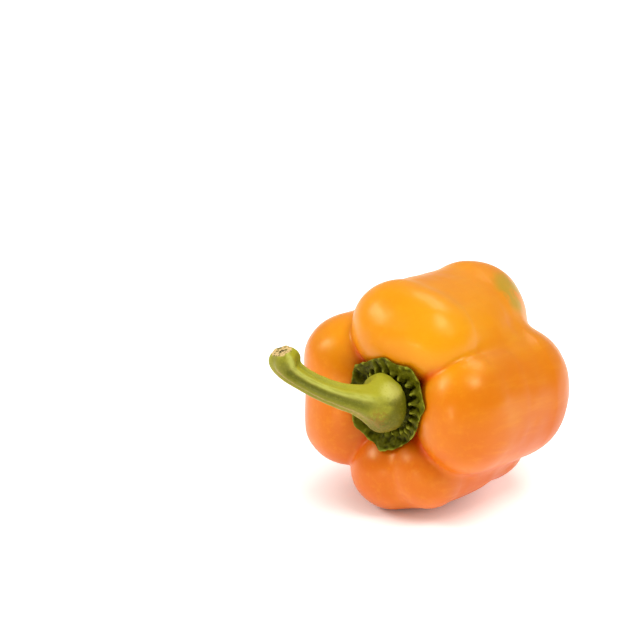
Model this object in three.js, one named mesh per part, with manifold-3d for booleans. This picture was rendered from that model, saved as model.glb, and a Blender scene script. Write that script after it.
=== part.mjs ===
// A ripe orange bell pepper, as picked: the lobed fruit, the green calyx in its hollow and the cut stem.
// It lies on its side on a small flat spot, with the stem pointing to the front.
import * as THREE from "three";
import { mergeVertices } from "three/addons/utils/BufferGeometryUtils.js";
import Module from "manifold-3d";

const wasm = await Module();
wasm.setup();

// Driving dimensions, in millimetres and degrees.
// The pepper is shaped upright: +Z runs along its core to the stem, and angles go round the core from +X.
const STEM_LIFT = 10; // how far the stem end is lifted above level as it lies
const GROUND_DEPTH = 37.9; // from the middle of the core down to what it lies on
const GAP = 0.35; // clearance between touching pieces

// Each lobe is two swellings along the fruit that run softly into each other. Each swelling is given
// from its shoulder to its far end by balls of [distance from the core, height, radius, turn].
const LOBES = [
  {
    softness: 11,
    swellings: [
      { angle: 102, balls: [[25.3, 19, 16.8], [21, 2, 17.6], [24, -17, 20, -12]] },
      { angle: 66, balls: [[25, 18, 15], [20, 0, 17], [15.5, -13, 16.5]] },
    ],
  },
  {
    softness: 15,
    swellings: [
      { angle: 16, balls: [[25.5, 18, 15], [22.8, 2, 16], [24.5, -13, 19]] },
      { angle: -15, balls: [[25, 16, 15], [22.5, 2, 15.3], [23, -12, 16.8, 2]] },
    ],
  },
  {
    softness: 5.5,
    swellings: [
      { angle: 296, balls: [[26, 18, 14], [22, 2, 15.5], [21, -17, 17, 1]] },
      { angle: 264, balls: [[26.8, 18, 15], [21.5, 2, 15.5], [17, -15, 16]] },
    ],
  },
  {
    softness: 13,
    swellings: [
      { angle: 208, balls: [[27.3, 18, 16.2, 4], [22.5, 2, 18.5], [22.5, -16, 20, 16]] },
      { angle: 163, balls: [[26.6, 18, 16.6], [22, 2, 17.5], [20, -16, 18]] },
    ],
  },
];
const CORE = [[0, -12, 18], [0, 12, 16]];
const SWELLING_SOFTNESS = 8; // how gently one ball of a swelling runs into the next
const CORE_SOFTNESS = 6;
// How gently two lobes meet, by height: the creases are sharp at the shoulder.
const CREASE_SOFTNESS = [[-45, 3], [-20, 5], [2, 5], [14, 3.2], [26, 2.2], [45, 2]];

const CALYX_CENTRE = new THREE.Vector3(1.5, 1, 0); // the stem stands a little off the core
const CALYX_TIPS = [
  // [angle, reach] of each pointed tip
  [12, 17.8], [57, 18.2], [96, 17.2], [149, 18.2], [186, 18], [223, 18.3], [242, 18.2], [264, 18.8], [333, 15],
];
const CALYX_NOTCH = 0.9; // the edge between two tips, as a share of their reach, when they stand wide apart
const WIDE_APART = 45; // degrees
const CALYX_ROUND = 18; // the plain round reach that its inner rings start from
const TIP_SHARPNESS = 1.6;
const CALYX_SEAT = 31.2; // height of the round seat under the stem
const CALYX_SEAT_RADIUS = 8.8;
const CALYX_EDGE = 1; // thickness of the cap at its edge
const CALYX_BODY = 1.1; // and round the seat
const TRENCH_SLOPE = 1.3; // the cap rises at most this steeply round the stem's foot
const FURROW_SPAN = 20; // the cap bridges a furrow this many degrees to each side
const FURROW_SAG = 0.9;
const KNOBS = 22; // the ring of crimped knobs round the stem
const KNOB_RADIUS = 10.8;
const KNOB_WIDTH = 1.8;
const KNOB_HEIGHT = 1.7;

// The stem's middle line, from the seat to the cut end, as [x, y, height].
const STEM_ROUTE = [
  [1.5, 2, 31.55], [1.5, 2, 33.8], [1.4, 2.2, 36.6], [-0.3, 2.5, 40.3], [-3.6, 3.3, 43.7], [-7.4, 3.9, 46.2],
  [-11.5, 4.9, 48.6], [-15.3, 6.2, 50.7], [-18.2, 7.5, 52.4], [-21.8, 9.6, 54.6], [-24.1, 11.6, 56.2],
  [-25.2, 13.8, 57.2], [-25.7, 15.9, 58], [-26.1, 18, 58.8],
];
// Radius by distance along that line: the swollen foot, the shaft and the flared cut end.
const STEM_RADII = [
  [0, 7.6], [1.5, 8.7], [3, 9.7], [4.8, 10.4], [6.6, 9.7], [8.6, 7.9], [11, 6.1], [14, 5], [20, 4.1], [26, 3.75],
  [31, 3.6], [35.5, 3.7], [39.5, 4.2], [42.3, 5.1], [44.2, 5.3], [45.6, 4.9], [47, 3.7],
];
const STEM_RIDGES = 6;
const RIDGE_TURN = 30; // from the underside of the stem to the first ridge
const RIDGE_HEIGHT = 0.09; // as a share of the radius
const CUT_HOLLOW = 0.7; // the pith has shrunk this far into the cut end

// Fineness of the surfaces.
const FRUIT_GRID = 27;
const RELAX_ROUNDS = 24;
const CALYX_SIDES = 88;
const STEM_SIDES = 30;
const STEM_RINGS = 24;

const radians = THREE.MathUtils.degToRad;

// A point at an angle round the core, a distance from it and a height.
function around(angle, reach, height) {
  return new THREE.Vector3(reach * Math.cos(radians(angle)), reach * Math.sin(radians(angle)), height);
}

// A smooth curve through [place, value] pairs.
function curveThrough(pairs) {
  const spline = new THREE.CubicInterpolant(
    pairs.map(([place]) => place),
    pairs.map(([, value]) => value),
    1,
  );
  return (place) => spline.evaluate(place)[0];
}

// The smaller of two distances, rounded where they are nearly equal.
function blend(first, second, softness) {
  const overlap = Math.max(softness - Math.abs(first - second), 0) / softness;
  return Math.min(first, second) - (overlap * overlap * softness) / 4;
}

// The stretches of a chain of balls, each from one ball to the next.
function chain(angle, balls) {
  const centres = balls.map(([reach, height, , turn = 0]) => around(angle + turn, reach, height));
  return centres.slice(1).map((centre, i) => ({
    line: new THREE.Line3(centres[i], centre),
    radii: [balls[i][2], balls[i + 1][2]],
  }));
}

const nearest = new THREE.Vector3();

function stretchDistance(point, { line, radii }) {
  const share = line.closestPointToPointParameter(point, true);
  return line.at(share, nearest).distanceTo(point) - THREE.MathUtils.lerp(radii[0], radii[1], share);
}

const lobes = LOBES.map(({ softness, swellings }) => ({
  softness,
  chains: swellings.map(({ angle, balls }) => chain(angle, balls)),
}));
const coreChain = chain(0, CORE);
const creaseSoftness = new THREE.LinearInterpolant(
  CREASE_SOFTNESS.map(([height]) => height),
  CREASE_SOFTNESS.map(([, softness]) => softness),
  1,
);

function swellingDistance(point, stretches) {
  return stretches
    .map((stretch) => stretchDistance(point, stretch))
    .reduce((first, second) => blend(first, second, SWELLING_SOFTNESS));
}

function lobeDistance(point, { softness, chains }) {
  return chains
    .map((stretches) => swellingDistance(point, stretches))
    .reduce((first, second) => blend(first, second, softness));
}

// Signed distance from a point to the fruit's skin: below zero inside the flesh.
function skinDistance(point) {
  const softness = creaseSoftness.evaluate(point.z)[0];
  const flesh = lobes
    .map((lobe) => lobeDistance(point, lobe))
    .reduce((first, second) => blend(first, second, softness));
  return blend(flesh, swellingDistance(point, coreChain), CORE_SOFTNESS);
}

// The way out of the skin at a point.
function skinNormal(point) {
  const step = 0.01;
  const middle = skinDistance(point);
  const slope = ["x", "y", "z"].map((axis) => {
    const moved = point.clone();
    moved[axis] += step;
    return (skinDistance(moved) - middle) / step;
  });
  return new THREE.Vector3(...slope);
}

// Walks a point along a direction until it meets the skin.
function walkToSkin(point, direction) {
  const near = 0.002;
  const most = 200;
  for (let i = 0; i < most; i += 1) {
    const distance = skinDistance(point);
    if (distance < near) break;
    point.addScaledVector(direction, distance);
  }
  return point;
}

// The fruit's height at a place round the calyx's middle.
function hollowHeight(angle, reach) {
  const above = 60;
  const start = around(angle, reach, above).add(CALYX_CENTRE);
  return walkToSkin(start, new THREE.Vector3(0, 0, -1)).z;
}

function bare(geometry) {
  geometry.deleteAttribute("normal");
  geometry.deleteAttribute("uv");
  return mergeVertices(geometry);
}

// The grid neighbours of each vertex of a box, found before it is bent.
function gridNeighbours(geometry) {
  const position = geometry.getAttribute("position");
  const neighbours = Array.from({ length: position.count }, () => new Set());
  const index = geometry.index.array;
  const from = new THREE.Vector3();
  const to = new THREE.Vector3();
  for (let i = 0; i < index.length; i += 3) {
    for (let corner = 0; corner < 3; corner += 1) {
      const a = index[i + corner];
      const b = index[i + ((corner + 1) % 3)];
      to.fromBufferAttribute(position, b).sub(from.fromBufferAttribute(position, a));
      const moved = to.toArray().filter((change) => Math.abs(change) > 1e-6).length;
      if (moved === 1) {
        neighbours[a].add(b);
        neighbours[b].add(a);
      }
    }
  }
  return neighbours;
}

// Spreads the points evenly over the skin: each moves towards its neighbours' middle and back to the skin.
function relax(points, neighbours) {
  for (let round = 0; round < RELAX_ROUNDS; round += 1) {
    const middles = neighbours.map((near) => {
      const middle = new THREE.Vector3();
      for (const i of near) middle.add(points[i]);
      return middle.divideScalar(near.size);
    });
    points.forEach((point, i) => {
      point.lerp(middles[i], 0.5);
      const normal = skinNormal(point);
      point.addScaledVector(normal, -skinDistance(point) / normal.lengthSq());
    });
  }
}

// Lays each square's diagonal where it leaves the skin least, so that creases stay clean.
function settleDiagonals(skin, points) {
  const index = skin.index.array;
  const offSkin = (i, j) => Math.abs(skinDistance(points[i].clone().lerp(points[j], 0.5)));
  for (let i = 0; i < index.length; i += 6) {
    const [a, b, d, , c] = index.slice(i, i + 6);
    if (offSkin(a, c) < offSkin(b, d)) index.set([a, b, c, a, c, d], i);
  }
}

// The fruit's skin: a grid on a cube, swelled to a ball and then drawn in to the lobes.
function fruitGeometry() {
  const skin = bare(new THREE.BoxGeometry(2, 2, 2, FRUIT_GRID, FRUIT_GRID, FRUIT_GRID));
  const position = skin.getAttribute("position");
  const neighbours = gridNeighbours(skin);
  const outside = 70;
  const points = [];
  for (let i = 0; i < position.count; i += 1) {
    const direction = new THREE.Vector3().fromBufferAttribute(position, i);
    direction.set(...direction.toArray().map((share) => Math.tan((share * Math.PI) / 4))).normalize();
    points.push(walkToSkin(direction.clone().multiplyScalar(outside), direction.negate()));
  }
  relax(points, neighbours);
  settleDiagonals(skin, points);
  points.forEach((point, i) => position.setXYZ(i, point.x, point.y, point.z));
  return skin;
}

// A closed tube whose points a rule places by angle, share of the length and share of the radius.
function shapedTube(sides, rings, place) {
  const tube = bare(new THREE.CylinderGeometry(1, 1, 1, sides, rings).rotateX(Math.PI / 2));
  const position = tube.getAttribute("position");
  for (let i = 0; i < position.count; i += 1) {
    const x = position.getX(i);
    const y = position.getY(i);
    const angle = THREE.MathUtils.radToDeg(Math.atan2(y, x));
    const point = place(angle, position.getZ(i) + 0.5, Math.hypot(x, y));
    position.setXYZ(i, point.x, point.y, point.z);
  }
  return tube;
}

// The reach of the calyx's edge at an angle: straight runs between pointed tips.
function calyxReach(angle) {
  const turned = (degrees) => THREE.MathUtils.euclideanModulo(degrees, 360);
  const last = CALYX_TIPS.length - 1;
  const at = CALYX_TIPS.findLastIndex(([tip]) => tip <= turned(angle));
  const [fromAngle, fromReach] = CALYX_TIPS[at < 0 ? last : at];
  const [toAngle, toReach] = CALYX_TIPS[at < 0 || at === last ? 0 : at + 1];
  const apart = turned(toAngle - fromAngle);
  const share = turned(angle - fromAngle) / apart;
  const reach = THREE.MathUtils.lerp(fromReach, toReach, share);
  const notch = THREE.MathUtils.lerp(1, CALYX_NOTCH, Math.min(1, apart / WIDE_APART));
  const nearTip = Math.abs(2 * share - 1) ** TIP_SHARPNESS;
  return reach * THREE.MathUtils.lerp(notch, 1, nearTip);
}

// The calyx's underside: it follows the hollow and bridges the furrows between the lobes.
function calyxUnderside(angle, reach) {
  let height = -Infinity;
  for (let turn = -FURROW_SPAN; turn <= FURROW_SPAN; turn += FURROW_SPAN / 4) {
    const sag = FURROW_SAG * (turn / FURROW_SPAN) ** 2;
    height = Math.max(height, hollowHeight(angle + turn, reach) - sag);
  }
  return height + GAP;
}

// How far the calyx's top rises above its plain thickness: knobs round the stem and folds out to the edge.
function crimp(angle, reach) {
  const wave = 0.5 + 0.5 * Math.cos(radians(KNOBS * angle));
  const uneven = 1 + 0.3 * Math.sin(radians(3 * angle + 40)) + 0.2 * Math.sin(radians(7 * angle));
  const knob = Math.exp(-(((reach - KNOB_RADIUS) / KNOB_WIDTH) ** 2));
  return KNOB_HEIGHT * uneven * wave * knob;
}

function calyxGeometry() {
  // From the middle of the underside out to the edge, and back in over the top: [side, share of the way out].
  const profile = [
    [0, 0.3], [0, 0.55], [0, 0.7], [0, 0.85], [0, 1],
    [1, 1], [1, 0.94], [1, 0.87], [1, 0.8], [1, 0.73], [1, 0.67], [1, 0.61], [1, 0.54], [1, 0.48], [1, 0.25],
  ];
  const rings = profile.length - 1;
  return shapedTube(CALYX_SIDES, rings, (angle, along, radial) => {
    const [side, share] = profile[Math.round(along * rings)];
    const edge = calyxReach(angle);
    const reach = radial * share * THREE.MathUtils.lerp(CALYX_ROUND, edge, share ** 2);
    const under = calyxUnderside(angle, reach);
    const body = THREE.MathUtils.mapLinear(reach, CALYX_SEAT_RADIUS, edge, CALYX_BODY, CALYX_EDGE);
    const clearOfFoot = CALYX_SEAT + TRENCH_SLOPE * (reach - CALYX_SEAT_RADIUS);
    let height = Math.min(under + body + crimp(angle, reach), clearOfFoot);
    if (reach < CALYX_SEAT_RADIUS) height = CALYX_SEAT;
    if (side === 0) height = under;
    return around(angle, reach, height).add(CALYX_CENTRE);
  });
}

// The stem: a ridged section carried along its route, with a swollen foot and a hollowed cut end.
function stemGeometry() {
  const route = new THREE.CatmullRomCurve3(STEM_ROUTE.map((place) => new THREE.Vector3(...place)));
  const frames = route.computeFrenetFrames(STEM_RINGS);
  const length = route.getLength();
  const radius = curveThrough(STEM_RADII);
  return shapedTube(STEM_SIDES, STEM_RINGS, (angle, along, radial) => {
    const ring = Math.round(along * STEM_RINGS);
    const ridge = Math.cos(radians(STEM_RIDGES * (angle - RIDGE_TURN))) * Math.min(1, 2 * along);
    const reach = radial * radius(along * length) * (1 + RIDGE_HEIGHT * ridge);
    const hollow = radial === 0 && along > 0.5 ? CUT_HOLLOW : 0;
    return route
      .getPointAt(along)
      .addScaledVector(frames.normals[ring], reach * Math.cos(radians(angle)))
      .addScaledVector(frames.binormals[ring], reach * Math.sin(radians(angle)))
      .addScaledVector(frames.tangents[ring], -hollow);
  });
}

// Turns a piece from upright to how the pepper lies.
function lay(geometry) {
  return geometry.rotateX(radians(90 - STEM_LIFT));
}

function solid(geometry) {
  return new wasm.Manifold(
    new wasm.Mesh({
      numProp: 3,
      vertProperties: geometry.getAttribute("position").array,
      triVerts: new Uint32Array(geometry.index.array),
    }),
  );
}

// Presses the underside flat where the weight rests.
function pressFlat(geometry) {
  const size = 200;
  const ground = new THREE.BoxGeometry(size, size, size).translate(0, 0, -GROUND_DEPTH - size / 2);
  const mesh = solid(geometry).subtract(solid(bare(ground))).getMesh();
  const pressed = new THREE.BufferGeometry();
  pressed.setAttribute("position", new THREE.BufferAttribute(mesh.vertProperties, mesh.numProp));
  pressed.setIndex(new THREE.BufferAttribute(mesh.triVerts, 1));
  return pressed;
}

function piece(name, geometry, color, roughness) {
  const mesh = new THREE.Mesh(geometry, new THREE.MeshStandardMaterial({ color, roughness, metalness: 0 }));
  mesh.name = name;
  return mesh;
}

const pepper = new THREE.Group();
pepper.add(
  piece("fruit", pressFlat(lay(fruitGeometry())), 0xee7d18, 0.3),
  piece("calyx", lay(calyxGeometry()), 0x4b5c14, 0.6),
  piece("stem", lay(stemGeometry()), 0xa3a636, 0.5),
);

// The origin is the middle of the pepper's own box, at the height of what it lies on.
const box = new THREE.Box3().setFromObject(pepper);
pepper.position.set(-(box.min.x + box.max.x) / 2, -(box.min.y + box.max.y) / 2, GROUND_DEPTH);

export default pepper;
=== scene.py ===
"""A ripe orange bell pepper lying on its side on a pale floor, with its green calyx and cut stem."""

import math

import bpy
import numpy as np
from mathutils import Matrix, Vector


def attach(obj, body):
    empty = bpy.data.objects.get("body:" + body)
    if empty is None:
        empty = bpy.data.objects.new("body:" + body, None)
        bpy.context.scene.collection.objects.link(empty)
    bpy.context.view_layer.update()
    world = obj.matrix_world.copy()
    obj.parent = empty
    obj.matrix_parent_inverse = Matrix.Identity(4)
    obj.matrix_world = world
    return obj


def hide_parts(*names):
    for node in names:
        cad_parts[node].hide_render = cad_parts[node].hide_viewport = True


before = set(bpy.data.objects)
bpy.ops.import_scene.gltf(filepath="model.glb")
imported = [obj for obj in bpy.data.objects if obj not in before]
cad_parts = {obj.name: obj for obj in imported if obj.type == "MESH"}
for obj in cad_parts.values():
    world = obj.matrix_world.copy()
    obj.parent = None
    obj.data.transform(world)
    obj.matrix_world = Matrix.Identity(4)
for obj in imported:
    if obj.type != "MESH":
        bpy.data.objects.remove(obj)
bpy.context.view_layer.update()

MM = 0.001

# Where the pepper lies, in metres: the middle of its core, and the way the core points to the stem.
STEM_LIFT = math.radians(10)
CORE = Vector((-0.942 * MM, 9.465 * MM, 37.9 * MM))
TO_STEM = Vector((0, -math.cos(STEM_LIFT), math.sin(STEM_LIFT)))
SIDE = Vector((1, 0, 0))
TOP = TO_STEM.cross(SIDE)

# The fruit's lobes, upright and in millimetres. Each has a softness at the far end and one at the shoulder,
# and two swellings that run into each other by them. A swelling is its angle round the core, then balls from
# the shoulder to the far end, each with its distance from the core, height, radius and turn.
LOBES = (
    ((11, 11),
     (102, (25.3, 19, 16.8, 0), (21, 2, 17.6, 0), (24, -17, 20, -12)),
     (66, (25, 18, 15, 0), (20, 0, 17, 0), (15.5, -13, 16.5, 0))),
    ((15, 15),
     (16, (25.5, 18, 15, 0), (22.8, 2, 16, 0), (24.5, -13, 19, 0)),
     (-15, (25, 16, 15, 0), (22.5, 2, 15.3, 0), (23, -12, 16.8, 2))),
    ((8, 2.5),
     (296, (26, 18, 14, 0), (22, 2, 15.5, 0), (21, -17, 17, 1)),
     (264, (26.8, 18, 15, 0), (21.5, 2, 15.5, 0), (17, -15, 16, 0))),
    ((13, 13),
     (208, (27.3, 18, 16.2, 4), (22.5, 2, 18.5, 0), (22.5, -16, 20, 16)),
     (163, (26.6, 18, 16.6, 0), (22, 2, 17.5, 0), (20, -16, 18, 0))),
)
CORE_BALLS = ((0, -12, 18, 0), (0, 12, 16, 0))
SPLIT_HEIGHTS = (16, 27)  # between which a lobe's softness changes
SWELLING_SOFTNESS = 8
CORE_SOFTNESS = 6
CREASE_SOFTNESS = ((-45, 3), (-20, 5), (2, 5), (14, 3.2), (26, 2.2), (45, 2))  # height, then softness there

# How each piece is made finer, and what makes its surface uneven: a grain size and a height, in metres.
PAIRING_ANGLE = math.radians(50)  # up to which two triangles are paired into a square
SUBDIVISIONS = 2
SMOOTHINGS = 3  # of the fruit, each followed by a move back onto its skin
SKIN_ROUNDS = 5  # in which a point is moved onto the skin
SWELLS = (15 * MM, 0.9 * MM)
RIPPLES = (5 * MM, 0.12 * MM)
CRUMPLES = (2 * MM, 0.9 * MM)
LUMPS = (3 * MM, 0.5 * MM)
EVEN_SKIN_HEIGHTS = (1, 8)  # above the floor, in millimetres, between which the skin turns uneven

# Hollows in a piece, found by smoothing it, to paint shade in them and light on what stands up: the rounds of
# it, then the depth in millimetres that counts as 1.
FURROW_SHADE = (60, 0.9)
CREASE_SHADE = (14, 0.25)
FOLD_SHADE = (20, 1 / 1.3)

# The blossom end, upright, in millimetres: the skin's height, then a dent and a point, each as height, width.
BLOSSOM_HEIGHT = -30.4
BLOSSOM_DENT = (1.4, 5)
BLOSSOM_POINT = (0.9, 1.3)

# The calyx, upright and in millimetres. Pairs are distances from its middle, between which a part begins
# or ends.
CALYX_MIDDLE = (1.5, 1)
CALYX_KNOBS = 22
CALYX_WAVES = 9
# painted shade in the trench round the stem's foot ends between these
TRENCH_SHADE_END = (8.4, 9.4)
FOLDS_START = (9, 10.5)
RIM_START = (14.5, 17.5)
PALE_RIM_START = (15, 18)
FOLD_HEIGHT = 0.22
RUFFLE_REACH = 0.25
BEAD_RING = (10.9, 1.4)  # the ring's distance from the middle, and its width
BEAD_HEIGHTS = (0.9, 0.7)  # their mean height, and how far each rises and falls from it
# Painted shade on the skin round the calyx: the distances between which it ends, then the height above which
# it lies.
CALYX_SHADE_END = (17, 30)
CALYX_SHADE_HEIGHT = 15  # above which the skin round the calyx gets painted shade, darker and redder
HIDDEN_SKIN_END = (20, 26)
HIDDEN_SKIN_HEIGHT = 20  # above which the skin lies under the calyx, and stays even

# The stalk, upright and in millimetres. Turns are in degrees round its middle line. Pairs named START are
# distances along it, and pairs named FADE are distances from its cut end.
STEM_ROUTE = (
    (1.5, 2, 31.55), (1.5, 2, 33.8), (1.4, 2.2, 36.6), (-0.3, 2.5, 40.3), (-3.6, 3.3, 43.7),
    (-7.4, 3.9, 46.2), (-11.5, 4.9, 48.6), (-15.3, 6.2, 50.7), (-18.2, 7.5, 52.4), (-21.8, 9.6, 54.6),
    (-24.1, 11.6, 56.2), (-25.2, 13.8, 57.2), (-25.7, 15.9, 58), (-26.1, 18, 58.8),
)
STEM_STEPS = 12  # in which each part of the route is followed
SHAFT_START = (6, 14)
RIDGE_START = (0, 20)
RIDGE_HIGHLIGHT_START = (6, 13)
RELIEF_FADE = (0, 9)
GROOVE_FADE = (3, 9)
CORK_FADE = (0.2, 0.9)
STEM_RIDGES = 6
RIDGE_TURN = math.radians(30)
RIDGE_DEPTH = 0.25
STEM_GROOVES = ((82, 19, 0.45), (335, 13, 0.3), (278, 13, 0.4), (222, 12, 0.3))  # turn, width, depth
STEM_RIDGE_HIGHLIGHTS = ((114, 13, 1), (2, 9, 0.4), (306, 9, 0.6), (250, 9, 0.6))  # painted highlights along the ridges: turn, width, strength
STEM_FACET = (42, 26)  # the olive side under the widest groove: turn, width
FOOT_BULGE = (48, 38, 1.0)  # where the foot swells furthest: turn, width, height
FOOT_BULGE_RUN = (5.5, 3.2)  # its place along the stalk, and its length
CUT_RIND = (3.3, 3.9)  # distances from the cut's middle, between which the cork ends
CUT_REACH = 6.5 * MM  # from the cut's middle, to find its faces
CUT_STEPS = ((0.25, 0), (0.3, 0), (0.4, -0.35), (0.7, 0.15), (0.8, -0.2), (0.6, -0.25))  # width, depth

# Marks on the skin and the stalk, as the pepper lies, in metres.
GREEN_PATCH = (14.9 * MM, 34.2 * MM, 71 * MM)
YELLOW_PATCH = (17.5 * MM, -14.5 * MM, 70.8 * MM)
# where a highlight is painted on the stem's foot
FOOT_HIGHLIGHT = (6.9 * MM, -28.3 * MM, 53.6 * MM)
FOOT_BLUSH = (5.2 * MM, -33.6 * MM, 44 * MM)
SKIN_MARKS = (  # place, size, strength
    ((-7.4 * MM, -23 * MM, 67.8 * MM), 0.5 * MM, 0.8),
    ((32.4 * MM, -9.3 * MM, 57.3 * MM), 1.6 * MM, 0.3),
)

# The view: camera turned from the front to the right, looking down, and the pepper's place in the picture.
VIEW_TURN = math.radians(35)
VIEW_DOWN = math.radians(25)
VIEW_DISTANCE = 0.9
FOCAL_PIXELS = 2520
PICTURE = 640
CORE_PIXEL = (436, 388)
SENSOR = 36

# The room and the floor, which glows, with a painted shadow: its glow fades out between two distances from
# the painted shadow's middle.
ROOM_TINT = (1, 0.94, 0.84, 1)
ROOM_STRENGTH = 0.44
FLOOR_SIZE = 6
FLOOR_GLOW = 0.46
PAINTED_SHADOW_MIDDLE = (-8 * MM, -5 * MM, 0)
PAINTED_SHADOW_REACH = (8 * MM, 40 * MM)

# Colours as a screen shows them. Shades are painted on a piece's points: a name, a strength and a colour.
PAPER = (250, 250, 250)
# Skin: low, middle and high are painted light by height, yellower above and redder below, mixed with random
# tone.
SKIN = {
    "low": (214, 99, 0), "middle": (222, 120, 0), "high": (236, 150, 0), "patch": (242, 164, 0),
    "streak": (246, 170, 30), "unripe": (168, 156, 40), "mark": (150, 84, 20), "scar": (128, 92, 48),
}
# Painted shade: darker, redder skin in the furrows, in the hollow round the calyx and in the creases by it.
SKIN_SHADES = (
    ("furrow_shade", 0.8, (212, 78, 0)),
    ("calyx_hollow_shade", 0.9, (220, 74, 0)),
    ("crease", 0.6, (210, 66, 0)),
)
# Calyx: low, middle and high are painted shade in the folds and painted light on what stands up, mixed with
# the veins; the trench colour is painted shade round the stem's foot.
CALYX = {
    "low": (42, 42, 0), "middle": (86, 86, 6), "high": (142, 144, 40),
    "blotch": (104, 104, 16), "rim": (110, 122, 26), "trench_shade": (36, 34, 0),
}
# Stalk: the streak colour is a painted highlight along the ridges, and the brightest colour is a painted
# highlight on the foot.
STEM = {
    "olive": (142, 140, 32), "green": (158, 154, 40), "streak": (196, 198, 92), "foot_highlight": (206, 204, 104),
    "freckle": (196, 194, 70), "underside_tan": (190, 146, 84), "brown": (146, 92, 20),
    "cork": (222, 190, 130), "pith": (104, 100, 30),
}
# Painted light and shade: lighter on the sides that face up, darker on the sides that face down and right,
# and darker in the grooves.
STEM_SHADES = (
    ("upper", 0.75, (176, 172, 34)),
    ("shady", 0.92, (96, 94, 4)),
    ("facet", 0.75, (134, 128, 46)),
    ("groove_shade", 0.85, (96, 98, 10)),
)


def srgb(tone):
    """A colour given as a screen shows it, turned into the linear values that shaders take."""
    def linear(value):
        share = value / 255
        return share / 12.92 if share <= 0.04045 else ((share + 0.055) / 1.055) ** 2.4
    return (*map(linear, tone), 1)


def lie(x, y, height):
    """A place given upright, in millimetres, as it is when the pepper lies, in metres."""
    return CORE + (SIDE * x + TOP * y + TO_STEM * height) * MM


def laid(points):
    """Many such places at once, as rows of an array."""
    return np.array(CORE) + points @ np.array([SIDE, TOP, TO_STEM]) * MM


def upright(points):
    """The other way round: places as the pepper lies, in metres, given upright, in millimetres."""
    return (points - np.array(CORE)) @ np.array([SIDE, TOP, TO_STEM]).T / MM


def view_axes():
    """The camera's right, up and backward directions."""
    right = Vector((math.cos(VIEW_TURN), math.sin(VIEW_TURN), 0))
    level = Vector((math.sin(VIEW_TURN), -math.cos(VIEW_TURN), 0))
    back = level * math.cos(VIEW_DOWN) + Vector((0, 0, math.sin(VIEW_DOWN)))
    return right, back.cross(right), back


def make_camera():
    """A long lens, aimed beside the pepper so that it sits low and right of the picture's middle."""
    right, up, back = view_axes()
    per_pixel = VIEW_DISTANCE / FOCAL_PIXELS
    beside = (PICTURE / 2 - CORE_PIXEL[0]) * per_pixel
    above = (CORE_PIXEL[1] - PICTURE / 2) * per_pixel
    target = CORE + right * beside + up * above
    place = CORE + back * VIEW_DISTANCE
    data = bpy.data.cameras.new("view")
    data.sensor_width = SENSOR
    data.lens = SENSOR * FOCAL_PIXELS / PICTURE
    camera = bpy.data.objects.new("view", data)
    bpy.context.scene.collection.objects.link(camera)
    camera.location = place
    level = Matrix((right, up, back)).transposed()
    swing = back.rotation_difference(place - target).to_matrix()
    camera.rotation_euler = (swing @ level).to_euler()
    bpy.context.scene.camera = camera


def softbox(name, turn, lift, distance, width, height, power):
    """A soft lamp that faces the pepper: turn is counted from the camera to its right, in degrees."""
    data = bpy.data.lights.new(name, "AREA")
    data.shape = "RECTANGLE"
    data.size = width
    data.size_y = height
    data.energy = power
    lamp = bpy.data.objects.new(name, data)
    bpy.context.scene.collection.objects.link(lamp)
    angle = VIEW_TURN + math.radians(turn)
    level = Vector((math.sin(angle), -math.cos(angle), 0))
    lift = math.radians(lift)
    away = level * math.cos(lift) + Vector((0, 0, math.sin(lift)))
    lamp.location = CORE + away * distance
    lamp.rotation_euler = away.to_track_quat("Z", "Y").to_euler()


def make_light():
    """A warm white room with four soft lamps: left, high on the right, low in front, and behind."""
    softbox("key", turn=-85, lift=37, distance=1.1, width=0.42, height=0.36, power=4.5)
    softbox("right", turn=45, lift=62, distance=1.1, width=0.46, height=0.38, power=5.6)
    softbox("card", turn=-32, lift=5, distance=1.1, width=0.16, height=0.1, power=1.1)
    softbox("behind", turn=150, lift=60, distance=1.2, width=0.6, height=0.5, power=3.4)
    world = bpy.data.worlds.new("white_room")
    bpy.context.scene.world = world
    world.use_nodes = True
    room = world.node_tree.nodes["Background"]
    room.inputs["Color"].default_value = ROOM_TINT
    room.inputs["Strength"].default_value = ROOM_STRENGTH
    bpy.context.scene.view_settings.view_transform = "Standard"


def make_floor():
    """A plain white floor that glows, with a painted shadow: it glows less under and round the pepper."""
    bpy.ops.object.select_all(action="DESELECT")
    bpy.ops.mesh.primitive_plane_add(size=FLOOR_SIZE, location=(0, 0, 0))
    floor = bpy.context.object
    floor.name = "floor"
    paper, shader = new_material("white_paper")
    shader.inputs["Base Color"].default_value = srgb(PAPER)
    shader.inputs["Roughness"].default_value = 0.9
    shader.inputs["Specular IOR Level"].default_value = 0.1
    shader.inputs["Emission Color"].default_value = (1, 1, 1, 1)
    n = Nodes(paper)
    # Painted shadow: the floor's glow fades out round the shadow's middle.
    painted_shadow = n.near(n.place(), PAINTED_SHADOW_MIDDLE, *PAINTED_SHADOW_REACH)
    glow = n.math("MULTIPLY", n.math("SUBTRACT", 1, painted_shadow), FLOOR_GLOW)
    n.join(glow, shader.inputs["Emission Strength"])
    floor.data.materials.append(paper)


def new_material(name):
    """An empty material and its shader."""
    material = bpy.data.materials.new(name)
    material.use_nodes = True
    return material, material.node_tree.nodes["Principled BSDF"]


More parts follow.
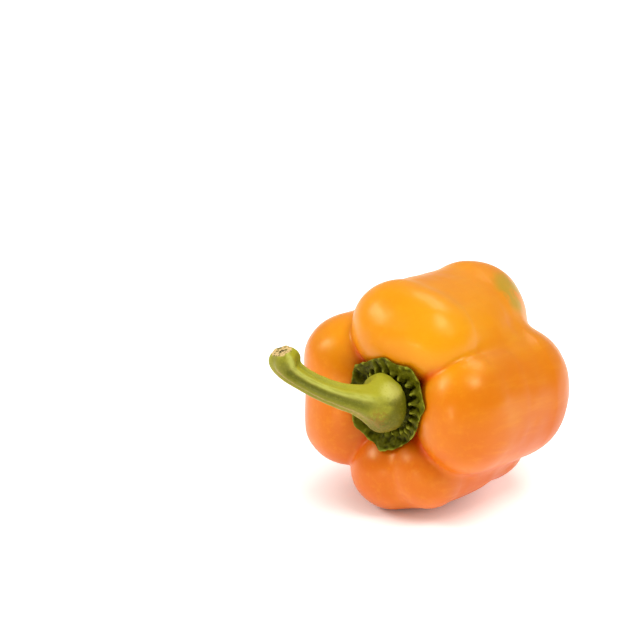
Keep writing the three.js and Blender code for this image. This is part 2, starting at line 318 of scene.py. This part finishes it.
class Nodes:
    """Short ways to add and join the nodes of one material."""

    def __init__(self, material):
        self.tree = material.node_tree

    def add(self, kind, **settings):
        node = self.tree.nodes.new(kind)
        for key, value in settings.items():
            setattr(node, key, value)
        return node

    def join(self, source, target):
        self.tree.links.new(source, target)

    def place(self):
        """Object coordinates."""
        return self.add("ShaderNodeTexCoord").outputs["Object"]

    def attribute(self, name, output="Fac"):
        """A value or place painted on the piece's points."""
        return self.add("ShaderNodeAttribute", attribute_name=name).outputs[output]

    def noise(self, where, scale, detail=3.0, roughness=0.5):
        node = self.add("ShaderNodeTexNoise")
        node.inputs["Scale"].default_value = scale
        node.inputs["Detail"].default_value = detail
        node.inputs["Roughness"].default_value = roughness
        self.join(where, node.inputs["Vector"])
        return node.outputs["Fac"]

    def turned(self, where):
        """Coordinates turned upright, with the core as their third axis."""
        node = self.add("ShaderNodeMapping")
        node.inputs["Rotation"].default_value = (STEM_LIFT - math.pi / 2, 0, 0)
        self.join(where, node.inputs["Vector"])
        return node.outputs["Vector"]

    def stretched(self, where, scale):
        """Coordinates scaled along each axis, for streaks."""
        node = self.add("ShaderNodeMapping")
        node.inputs["Scale"].default_value = scale
        self.join(where, node.inputs["Vector"])
        return node.outputs["Vector"]

    def span(self, value, low, high, to_low=0.0, to_high=1.0):
        """A value's range mapped smoothly onto another and kept inside it."""
        node = self.add("ShaderNodeMapRange", interpolation_type="SMOOTHSTEP")
        node.inputs["From Min"].default_value = low
        node.inputs["From Max"].default_value = high
        node.inputs["To Min"].default_value = to_low
        node.inputs["To Max"].default_value = to_high
        self.join(value, node.inputs["Value"])
        return node.outputs["Result"]

    def math(self, operation, first, second):
        node = self.add("ShaderNodeMath", operation=operation)
        for socket, value in zip(node.inputs, (first, second)):
            if isinstance(value, (int, float)):
                socket.default_value = value
            else:
                self.join(value, socket)
        return node.outputs["Value"]

    def mix(self, share, first, second):
        """A blend of two colours."""
        node = self.add("ShaderNodeMix", data_type="RGBA")
        for socket, value in zip((node.inputs[0], node.inputs[6], node.inputs[7]), (share, first, second)):
            if isinstance(value, (int, float, tuple)):
                socket.default_value = value
            else:
                self.join(value, socket)
        return node.outputs[2]

    def over(self, colour, value, strength, tone):
        """A colour with a tone laid over it, as far as a value from 0 to 1 says."""
        return self.mix(self.span(value, 0, 1, 0, strength), colour, srgb(tone))

    def near(self, where, spot, inner, outer):
        """1 within the inner distance of a spot, 0 past the outer."""
        node = self.add("ShaderNodeVectorMath", operation="DISTANCE")
        self.join(where, node.inputs[0])
        node.inputs[1].default_value = spot
        return self.span(node.outputs["Value"], inner, outer, 1.0, 0.0)

    def bump(self, height, distance, strength=1.0, under=None):
        node = self.add("ShaderNodeBump")
        node.inputs["Strength"].default_value = strength
        node.inputs["Distance"].default_value = distance
        self.join(height, node.inputs["Height"])
        if under is not None:
            self.join(under, node.inputs["Normal"])
        return node.outputs["Normal"]


def activate(piece):
    bpy.ops.object.select_all(action="DESELECT")
    piece.select_set(True)
    bpy.context.view_layer.objects.active = piece


def edit(piece, select="SELECT"):
    """Opens a piece for editing, with all of it selected or none."""
    activate(piece)
    bpy.ops.object.mode_set(mode="EDIT")
    bpy.ops.mesh.select_all(action=select)


def close_edit():
    bpy.ops.object.mode_set(mode="OBJECT")


def apply_modifier(piece, kind, **settings):
    """Adds one modifier and applies it."""
    activate(piece)
    modifier = piece.modifiers.new(kind.lower(), kind)
    for key, value in settings.items():
        setattr(modifier, key, value)
    bpy.ops.object.modifier_apply(modifier=modifier.name)


def finer_copy(node, name):
    """A copy of a CAD node's mesh, its corners joined and its triangles paired into squares."""
    piece = bpy.data.objects.new(name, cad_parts[node].data.copy())
    piece.data.name = name
    piece.data.materials.clear()
    bpy.context.scene.collection.objects.link(piece)
    edit(piece)
    bpy.ops.mesh.remove_doubles(threshold=0.01 * MM)
    bpy.ops.mesh.tris_convert_to_quads(face_threshold=PAIRING_ANGLE, shape_threshold=PAIRING_ANGLE)
    close_edit()
    return piece


def subdivide(piece):
    apply_modifier(piece, "SUBSURF", levels=SUBDIVISIONS, render_levels=SUBDIVISIONS)


def points_of(piece):
    """The piece's points as an array."""
    flat = np.empty(len(piece.data.vertices) * 3)
    piece.data.vertices.foreach_get("co", flat)
    return flat.reshape(-1, 3)


def move_points(piece, points):
    piece.data.vertices.foreach_set("co", points.ravel())
    piece.data.update()


def normals_of(piece):
    flat = np.empty(len(piece.data.vertices) * 3)
    piece.data.vertices.foreach_get("normal", flat)
    return flat.reshape(-1, 3)


def paint(piece, name, values):
    """Stores a value from 0 to 1 on each point."""
    layer = piece.data.attributes.new(name, "FLOAT", "POINT")
    layer.data.foreach_set("value", np.clip(values, 0, 1).astype(np.float32))


def paint_place(piece, name, places):
    """Stores a place on each point, for patterns that follow the piece's own run."""
    layer = piece.data.attributes.new(name, "FLOAT_VECTOR", "POINT")
    layer.data.foreach_set("vector", places.astype(np.float32).ravel())


def hollowness(piece, rounds, depth):
    """How far each point lies in a hollow, as a share of a depth: how much smoothing lifts it out."""
    points = points_of(piece)
    ends = np.empty(len(piece.data.edges) * 2, int)
    piece.data.edges.foreach_get("vertices", ends)
    first, second = ends.reshape(-1, 2).T
    count = np.bincount(ends, minlength=len(points))[:, None]
    smooth = points.copy()
    for _ in range(rounds):
        total = np.zeros_like(smooth)
        np.add.at(total, first, smooth[second])
        np.add.at(total, second, smooth[first])
        smooth = (smooth + total / count) / 2
    return ((smooth - points) * normals_of(piece)).sum(axis=1) / MM / depth


def smooth_step(values, low, high):
    share = np.clip((values - low) / (high - low), 0, 1)
    return share * share * (3 - 2 * share)


def fade_out(values, low, high):
    """1 up to the low value, 0 past the high one."""
    return smooth_step(-values, -high, -low)


def bell(values, width):
    return np.exp(-(values / width) ** 2)


def turn_between(angle, turn):
    """How far each angle is from a turn given in degrees, in degrees."""
    return (np.degrees(angle) - turn + 180) % 360 - 180


def roughen(piece, name, grain, height, where):
    """Makes the surface gently uneven with swells of one grain size, as strong as `where` says there."""
    group = piece.vertex_groups.new(name=name)
    for index, weight in enumerate(where):
        group.add([index], float(weight), "REPLACE")
    clouds = bpy.data.textures.new(name, "CLOUDS")
    clouds.noise_scale = grain
    clouds.noise_depth = 1
    apply_modifier(piece, "DISPLACE", texture=clouds, texture_coords="LOCAL", strength=height,
                   mid_level=0.5, vertex_group=name)
    piece.vertex_groups.remove(piece.vertex_groups[name])


def finish_piece(piece, node, material):
    """Smooth shading, its material, and its place in the frame."""
    activate(piece)
    bpy.ops.object.shade_smooth()
    piece.data.materials.clear()
    piece.data.materials.append(material)
    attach(piece, "root")
    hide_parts(node)


def blend(first, second, softness):
    """The smaller of two distances, rounded where they are nearly equal."""
    overlap = np.maximum(softness - np.abs(first - second), 0) / softness
    return np.minimum(first, second) - overlap * overlap * softness / 4


def swelling_distance(place, angle, *balls):
    """How far each upright place is outside a swelling."""
    turns = np.radians([angle + turn for *_, turn in balls])
    centres = [np.array([reach * math.cos(turn), reach * math.sin(turn), height])
               for turn, (reach, height, *_) in zip(turns, balls)]
    swelling = None
    for start, end, first, last in zip(centres, centres[1:], balls, balls[1:]):
        way = end - start
        share = np.clip((place - start) @ way / (way @ way), 0, 1)
        distance = np.linalg.norm(place - start - share[:, None] * way, axis=1)
        distance -= first[2] + (last[2] - first[2]) * share
        swelling = distance if swelling is None else blend(swelling, distance, SWELLING_SOFTNESS)
    return swelling


def skin_distance(place):
    """How far each upright place is outside the fruit's skin."""
    heights, creases = zip(*CREASE_SOFTNESS)
    crease = np.interp(place[:, 2], heights, creases)
    skin = None
    for softness, first, second in LOBES:
        split = np.interp(place[:, 2], SPLIT_HEIGHTS, softness)
        lobe = blend(swelling_distance(place, *first), swelling_distance(place, *second), split)
        skin = lobe if skin is None else blend(skin, lobe, crease)
    return blend(skin, swelling_distance(place, 0, *CORE_BALLS), CORE_SOFTNESS)


def to_skin(place):
    """Moves upright places straight onto the fruit's skin."""
    step = 0.01
    for _ in range(SKIN_ROUNDS):
        distance = skin_distance(place)
        slope = np.stack([(skin_distance(place + step * way) - distance) / step for way in np.eye(3)], axis=1)
        place = place - (distance / (slope ** 2).sum(axis=1))[:, None] * slope
    return place


def fruit_skin():
    """Waxy orange skin, faintly streaked along the fruit, with painted light and shade: yellower above,
    redder below, and painted shade in the furrows and round the calyx.
    """
    material, shader = new_material("fruit_skin")
    n = Nodes(material)
    where = n.place()
    height = n.add("ShaderNodeSeparateXYZ")
    n.join(where, height.inputs[0])
    # Painted light by height: yellower above, redder below, mixed with random tone from noise.
    painted_height_light_and_tone = n.math("ADD", n.span(height.outputs["Z"], 10 * MM, 82 * MM, 0, 0.74),
                      n.span(n.noise(where, 30, 3), 0.3, 0.7, 0, 0.28))
    colour = n.mix(n.span(painted_height_light_and_tone, 0.1, 0.55), srgb(SKIN["low"]), srgb(SKIN["middle"]))
    colour = n.mix(n.span(painted_height_light_and_tone, 0.5, 1), colour, srgb(SKIN["high"]))
    patch = n.math("MULTIPLY", n.near(where, YELLOW_PATCH, 4 * MM, 24 * MM), 0.6)
    colour = n.mix(patch, colour, srgb(SKIN["patch"]))
    streaks = n.noise(n.stretched(n.turned(where), (1, 1, 0.12)), 420, 4, 0.6)
    colour = n.mix(n.span(streaks, 0.45, 0.75, 0, 0.15), colour, srgb(SKIN["streak"]))
    # Painted shade in the furrows, round the calyx and in the creases by it.
    for name, strength, tone in SKIN_SHADES:
        colour = n.over(colour, n.attribute(name), strength, tone)

    unripe = n.math("MULTIPLY", n.near(where, GREEN_PATCH, 4 * MM, 12 * MM),
                    n.span(n.noise(where, 150, 4), 0.3, 0.55))
    colour = n.over(colour, unripe, 0.65, SKIN["unripe"])
    for spot, size, strength in SKIN_MARKS:
        colour = n.over(colour, n.near(where, spot, 0.3 * size, size), strength, SKIN["mark"])
    scar = n.near(where, lie(0, 0, BLOSSOM_HEIGHT + 0.5), 0.8 * MM, 2.4 * MM)
    colour = n.mix(scar, colour, srgb(SKIN["scar"]))
    n.join(colour, shader.inputs["Base Color"])

    dull = n.math("ADD", n.span(n.noise(where, 90, 4), 0.3, 0.7, 0.3, 0.38), n.math("MULTIPLY", scar, 0.4))
    n.join(dull, shader.inputs["Roughness"])
    pores = n.bump(n.noise(where, 2600, 2), 0.01 * MM, 0.4)
    n.join(n.bump(n.noise(where, 240, 3), 0.05 * MM, 0.25, pores), shader.inputs["Normal"])
    shader.inputs["Specular IOR Level"].default_value = 0.52
    shader.inputs["Specular Tint"].default_value = (1, 0.84, 0.45, 1)
    shader.inputs["Subsurface Weight"].default_value = 0.12
    shader.inputs["Subsurface Radius"].default_value = (1.0, 0.3, 0.06)
    shader.inputs["Subsurface Scale"].default_value = 3 * MM
    return material


def make_fruit():
    """The fleshy fruit: its lobes made smooth, a little uneven, with a sunk scar at the blossom end."""
    fruit = finer_copy("fruit", "fruit_flesh")
    subdivide(fruit)
    for _ in range(SMOOTHINGS):
        edit(fruit)
        bpy.ops.mesh.vertices_smooth(factor=0.5, repeat=3)
        close_edit()
        points = laid(to_skin(upright(points_of(fruit))))
        points[:, 2] = np.maximum(points[:, 2], 0)
        move_points(fruit, points)
    place = upright(points_of(fruit))
    from_calyx = np.hypot(place[:, 0] - CALYX_MIDDLE[0], place[:, 1] - CALYX_MIDDLE[1])
    calyx_shade_zone = fade_out(from_calyx, *CALYX_SHADE_END) * (place[:, 2] > CALYX_SHADE_HEIGHT)
    # Painted shade: where the skin lies in furrows, round the calyx and in the creases by it.
    hollow = hollowness(fruit, *FURROW_SHADE)
    paint(fruit, "furrow_shade", hollow - 0.3)
    paint(fruit, "calyx_hollow_shade", calyx_shade_zone * np.clip(hollow + 0.3, 0, 1))
    paint(fruit, "crease", (hollowness(fruit, *CREASE_SHADE) - 0.5) * calyx_shade_zone)
    under_calyx = (place[:, 2] > HIDDEN_SKIN_HEIGHT) * fade_out(from_calyx, *HIDDEN_SKIN_END)
    free = smooth_step(points_of(fruit)[:, 2] / MM, *EVEN_SKIN_HEIGHTS) * (1 - under_calyx)
    roughen(fruit, "swells", *SWELLS, free)
    roughen(fruit, "ripples", *RIPPLES, free)

    points = points_of(fruit)
    place = upright(points)
    from_core = np.hypot(place[:, 0], place[:, 1])
    (dent, dent_width), (point, point_width) = BLOSSOM_DENT, BLOSSOM_POINT
    sunk = (dent * bell(from_core, dent_width) - point * bell(from_core, point_width)) * (place[:, 2] < 0)
    points += sunk[:, None] * MM * np.array(TO_STEM)
    points[:, 2] = np.maximum(points[:, 2], 0)
    move_points(fruit, points)
    finish_piece(fruit, "fruit", fruit_skin())


def calyx_green():
    """Dark crinkled leaf green, lighter along the rim, with painted light on what stands up and painted shade
    in the folds and round the stem's foot.
    """
    material, shader = new_material("calyx_green")
    n = Nodes(material)
    where = n.place()
    veins = n.noise(n.attribute("fan", "Vector"), 9, 4, 0.6)
    blotches = n.noise(where, 350, 4, 0.6)
    # Painted light and shade on the relief, mixed with the veins.
    lift = n.math("ADD", n.math("MULTIPLY", n.attribute("relief_light_shade"), 0.75), n.math("MULTIPLY", veins, 0.35))
    colour = n.mix(n.span(lift, 0.3, 0.6), srgb(CALYX["low"]), srgb(CALYX["middle"]))
    colour = n.mix(n.span(lift, 0.6, 0.9), colour, srgb(CALYX["high"]))
    colour = n.mix(n.span(blotches, 0.5, 0.75, 0, 0.35), colour, srgb(CALYX["blotch"]))
    colour = n.mix(n.span(n.attribute("rim"), 0.7, 1, 0, 0.4), colour, srgb(CALYX["rim"]))
    # Painted shade in the trench round the stem's foot.
    colour = n.over(colour, n.attribute("trench_shade"), 0.7, CALYX["trench_shade"])
    n.join(colour, shader.inputs["Base Color"])
    n.join(n.span(blotches, 0.3, 0.7, 0.42, 0.6), shader.inputs["Roughness"])
    fine = n.bump(n.noise(where, 1800, 3), 0.1 * MM, 0.6)
    n.join(n.bump(veins, 0.5 * MM, 0.7, fine), shader.inputs["Normal"])
    shader.inputs["Specular IOR Level"].default_value = 0.15
    shader.inputs["Specular Tint"].default_value = (1, 1, 0.4, 1)
    return material


def make_calyx():
    """The cap: its knobs and folds made crisp, beads round the stem's foot, and its edge crinkled."""
    calyx = finer_copy("calyx", "calyx_cap")
    subdivide(calyx)
    points = points_of(calyx)
    place = upright(points)
    x = place[:, 0] - CALYX_MIDDLE[0]
    y = place[:, 1] - CALYX_MIDDLE[1]
    reach = np.hypot(x, y)
    angle = np.arctan2(y, x)
    upper = smooth_step(normals_of(calyx) @ np.array(TO_STEM), -0.2, 0.3)
    outer = smooth_step(reach, *FOLDS_START) * upper
    folds = np.cos(CALYX_KNOBS * angle + 1.3 * np.sin(3 * angle)) * outer
    ruffle = np.sin(CALYX_WAVES * angle + 2 * np.sin(4 * angle)) * smooth_step(reach, *RIM_START)
    (ring, width), (high, swing) = BEAD_RING, BEAD_HEIGHTS
    beads = (high + swing * np.cos(CALYX_KNOBS * angle + 0.8)) * bell(reach - ring, width) * upper
    points += (FOLD_HEIGHT * folds + beads)[:, None] * MM * np.array(TO_STEM)
    outward = (x[:, None] * np.array(SIDE) + y[:, None] * np.array(TOP)) / np.maximum(reach, 1)[:, None]
    points += (RUFFLE_REACH * ruffle)[:, None] * MM * outward
    move_points(calyx, points)
    roughen(calyx, "crumples", *CRUMPLES, outer)
    # Painted light and shade on the relief.
    paint(calyx, "relief_light_shade", 0.5 - hollowness(calyx, *FOLD_SHADE))
    paint(calyx, "rim", smooth_step(reach, *PALE_RIM_START))
    # Painted shade in the trench round the stem's foot.
    paint(calyx, "trench_shade", fade_out(reach, *TRENCH_SHADE_END))
    paint_place(calyx, "fan", np.stack([np.cos(angle), np.sin(angle), reach / 60], axis=1))
    finish_piece(calyx, "calyx", calyx_green())


def stem_green():
    """Yellow-green stalk with tan specks on the underside and a dry corky cut, and painted light and shade:
    pale painted highlights along the ridges and on the foot, a lighter top, and painted olive shade in the
    grooves and on the lower right side.
    """
    material, shader = new_material("stem_green")
    n = Nodes(material)
    where = n.place()
    fibres = n.noise(n.stretched(n.attribute("run", "Vector"), (1, 1, 0.1)), 900, 4, 0.6)
    freckles = n.noise(where, 1100, 4, 0.7)
    mottle = n.span(n.noise(where, 420, 3, 0.6), 0.35, 0.65)
    colour = n.mix(mottle, srgb(STEM["olive"]), srgb(STEM["green"]))
    # Painted light on top, painted shade on the lower right side and in the grooves.
    for name, strength, tone in STEM_SHADES:
        colour = n.over(colour, n.attribute(name), strength, tone)
    # Painted highlight along the ridges, broken by the fibres.
    streak = n.math("MULTIPLY", n.attribute("streak"), n.span(fibres, 0.25, 0.6, 0.4, 1))
    colour = n.over(colour, streak, 0.75, STEM["streak"])
    # Painted highlight on the foot.
    foot_highlight = n.math("MULTIPLY", n.near(where, FOOT_HIGHLIGHT, 1 * MM, 6 * MM), n.span(freckles, 0.3, 0.55, 0.5, 1))
    colour = n.over(colour, foot_highlight, 0.7, STEM["foot_highlight"])
    colour = n.mix(n.span(freckles, 0.5, 0.7, 0, 0.16), colour, srgb(STEM["freckle"]))
    specks = n.span(n.noise(where, 900, 4, 0.7), 0.42, 0.56)
    colour = n.over(colour, n.math("MULTIPLY", n.attribute("lower"), specks), 0.6, STEM["underside_tan"])
    browned = n.math("MULTIPLY", n.near(where, FOOT_BLUSH, 1.5 * MM, 6 * MM), specks)
    colour = n.over(colour, browned, 0.45, STEM["brown"])
    shrunk = n.span(n.noise(where, 700, 4, 0.7), 0.46, 0.58)
    cork = n.mix(shrunk, srgb(STEM["cork"]), srgb(STEM["pith"]))
    colour = n.mix(n.attribute("cut"), colour, cork)
    n.join(colour, shader.inputs["Base Color"])
    n.join(n.span(n.attribute("cut"), 0, 1, 0.5, 0.85), shader.inputs["Roughness"])
    fine = n.bump(freckles, 0.15 * MM, 0.6)
    n.join(n.bump(fibres, 0.3 * MM, 0.6, fine), shader.inputs["Normal"])
    shader.inputs["Specular IOR Level"].default_value = 0.22
    shader.inputs["Subsurface Weight"].default_value = 0.08
    shader.inputs["Subsurface Radius"].default_value = (0.6, 0.8, 0.2)
    shader.inputs["Subsurface Scale"].default_value = 1 * MM
    return material


def stem_line():
    """Places along the stalk's middle line, close together, with the distance run at each."""
    ends = [STEM_ROUTE[0], *STEM_ROUTE, STEM_ROUTE[-1]]
    places = []
    for before, start, end, after in zip(ends, ends[1:], ends[2:], ends[3:]):
        before, start, end, after = (np.array(place, float) for place in (before, start, end, after))
        for share in np.arange(STEM_STEPS) / STEM_STEPS:
            places.append(0.5 * (2 * start + (end - before) * share
                                 + (2 * before - 5 * start + 4 * end - after) * share ** 2
                                 + (3 * start - before - 3 * end + after) * share ** 3))
    places.append(np.array(STEM_ROUTE[-1], float))
    places = np.array(places)
    run = np.concatenate([[0], np.cumsum(np.linalg.norm(np.diff(places, axis=0), axis=1))])
    return places, run


def along_stem(place):
    """For upright places: the distance along the stalk, and the angle and distance from its middle line."""
    line, run = stem_line()
    nearest = np.array([np.argmin(((line - point) ** 2).sum(axis=1)) for point in place])
    direction = np.gradient(line, axis=0)
    direction /= np.linalg.norm(direction, axis=1)[:, None]
    carried = [np.array((0, -1, 0))]
    for way in direction[1:]:
        level = carried[-1] - (carried[-1] @ way) * way
        carried.append(level / np.linalg.norm(level))
    across = np.array(carried)
    aside = np.cross(direction, across)
    offset = place - line[nearest]
    u = (offset * across[nearest]).sum(axis=1)
    v = (offset * aside[nearest]).sum(axis=1)
    return run[nearest], np.arctan2(v, u), np.hypot(u, v)


def trim_cut_end(stem):
    """Works the flat end into a rind, a step and a shrunken pith."""
    end = lie(*STEM_ROUTE[-1])
    way = (end - lie(*STEM_ROUTE[-2])).normalized()
    edit(stem, "DESELECT")
    close_edit()
    for face in stem.data.polygons:
        face.select = face.normal.dot(way) > 0.8 and (face.center - end).length < CUT_REACH
    bpy.ops.object.mode_set(mode="EDIT")
    bpy.ops.mesh.select_mode(type="FACE")
    bpy.ops.mesh.dissolve_faces()
    for thickness, depth in CUT_STEPS:
        bpy.ops.mesh.inset(thickness=thickness * MM, depth=depth * MM)
    bpy.ops.mesh.merge(type="CENTER")
    close_edit()


def make_stem():
    """The stalk: crisp ridges that fade on the swollen foot, fine fibres, and the worked cut end."""
    stem = finer_copy("stem", "cut_stem")
    trim_cut_end(stem)
    subdivide(stem)
    place = upright(points_of(stem))
    run, angle, radius = along_stem(place)
    length = stem_line()[1][-1]
    to_go = length - run
    shaft = smooth_step(run, *SHAFT_START)
    from_cut = np.linalg.norm(place - np.array(STEM_ROUTE[-1]), axis=1)
    cut = fade_out(to_go, *CORK_FADE) * fade_out(from_cut, *CUT_RIND)

    # Where shade is painted in the grooves.
    groove_shade = np.zeros(len(run))
    depth = RIDGE_DEPTH * np.cos(STEM_RIDGES * (angle - RIDGE_TURN)) * smooth_step(run, *RIDGE_START)
    for turn, width, deep in STEM_GROOVES:
        line = bell(turn_between(angle, turn), width) * shaft
        groove_shade += line
        depth += deep * line
    # Where highlights are painted along the ridges.
    streak = sum(light * bell(turn_between(angle, turn), width) for turn, width, light in STEM_RIDGE_HIGHLIGHTS)
    turn, width, high = FOOT_BULGE
    middle, reach = FOOT_BULGE_RUN
    depth -= high * bell(turn_between(angle, turn), width) * bell(run - middle, reach)
    points = points_of(stem)
    points -= (depth * (1 - cut) * smooth_step(to_go, *RELIEF_FADE))[:, None] * MM * normals_of(stem)
    move_points(stem, points)
    roughen(stem, "lumps", *LUMPS, 0.5 + 0.5 * (1 - shaft))

    # Painted light on the sides that face up, painted shade on the sides that face down and right.
    facing_up = normals_of(stem) @ np.array(TOP)
    facing_down_right = normals_of(stem) @ np.array(SIDE * 0.6 - TOP * 0.75 - TO_STEM * 0.27)
    turn, width = STEM_FACET
    paint(stem, "groove_shade", groove_shade * (0.3 + 0.7 * smooth_step(to_go, *GROOVE_FADE)))
    paint(stem, "streak", streak * smooth_step(run, *RIDGE_HIGHLIGHT_START))
    paint(stem, "facet", bell(turn_between(angle, turn), width) * shaft)
    paint(stem, "upper", smooth_step(facing_up, 0.2, 0.8))
    paint(stem, "lower", smooth_step(-facing_up, 0.3, 0.9) * (0.25 + 0.75 * shaft))
    paint(stem, "shady", smooth_step(facing_down_right, -0.15, 0.4) * (1 - 0.6 * shaft))
    paint(stem, "cut", cut)
    paint_place(stem, "run", np.stack([radius * np.cos(angle), radius * np.sin(angle), run], axis=1) * MM)
    finish_piece(stem, "stem", stem_green())


make_camera()
make_light()
make_floor()
make_fruit()
make_calyx()
make_stem()
